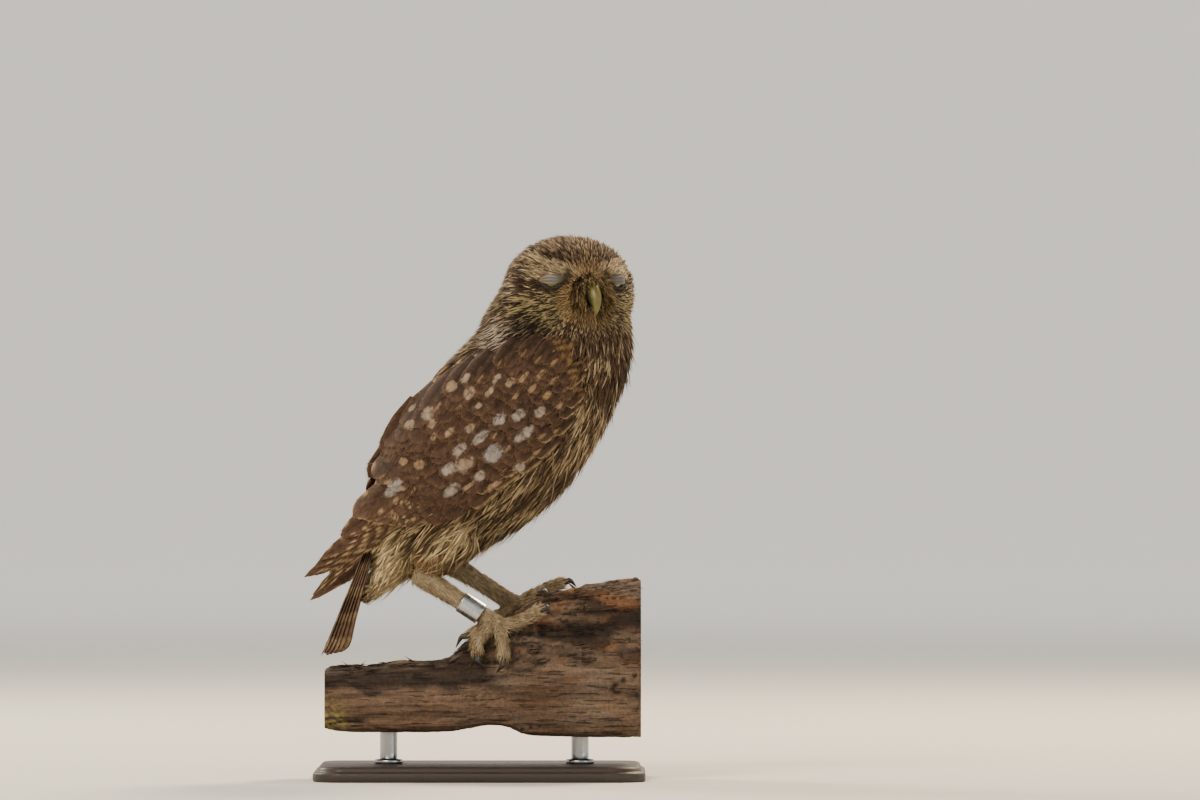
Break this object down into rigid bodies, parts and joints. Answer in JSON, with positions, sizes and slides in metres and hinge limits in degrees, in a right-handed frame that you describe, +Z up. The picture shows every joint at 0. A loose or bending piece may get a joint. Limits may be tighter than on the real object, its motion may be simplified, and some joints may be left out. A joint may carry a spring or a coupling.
{
  "type": "little owl",
  "caption": "Life-size little owl with closed eyes and a plain leg ring, gripping a weathered rail's end on a plain display stand.",
  "frame": {"origin": "Middle of the display base's flat underside, in the bird's plane of symmetry.", "axes": "+X is the way the bird's body faces, +Z is up, and +Y is the bird's left. The picture's camera looks along +Y."},
  "size_m": [0.1562, 0.096, 0.25],
  "materials": {
    "plumage": "brown body feathers with buff and white spots and streaks",
    "flight_feathers": "dark brown vanes with buff bars, keratin with a dull sheen",
    "leg_feathers": "short buff-brown down on thighs, shanks and toes",
    "eyelid": "bare blue-grey skin, finely wrinkled",
    "eye": "yellow iris under a clear wet cornea",
    "bill": "yellow-green horn with a satin sheen",
    "claw": "dark horn, glossy and faintly ridged",
    "ring_metal": "worn plain metal ring",
    "weathered_wood": "rotten grey-brown and orange timber, deeply grained",
    "stand_board": "dark stained board, satin",
    "stand_metal": "brushed steel rod"
  },
  "bodies": {
    "root": {"head": "plumage", "neck": "plumage", "torso": "plumage", "tail": "flight_feathers", "undertail_coverts": "plumage", "wing_right": "flight_feathers", "wing_left": "flight_feathers", "eye_right": "eye", "eyelid_upper_right": "eyelid", "eyelid_lower_right": "eyelid", "eye_left": "eye", "eyelid_upper_left": "eyelid", "eyelid_lower_left": "eyelid", "bill_upper": "bill", "bill_lower": "bill", "thigh_right": "leg_feathers", "shank_right": "leg_feathers", "foot_right": "leg_feathers", "claw_right_inner": "claw", "claw_right_middle": "claw", "claw_right_outer": "claw", "claw_right_hind": "claw", "thigh_left": "leg_feathers", "shank_left": "leg_feathers", "foot_left": "leg_feathers", "claw_left_inner": "claw", "claw_left_middle": "claw", "claw_left_outer": "claw", "claw_left_hind": "claw", "leg_ring": "ring_metal", "perch": "weathered_wood", "stand_base": "stand_board", "stand_rod_1": "stand_metal", "stand_rod_2": "stand_metal"}
  },
  "joints": []
}
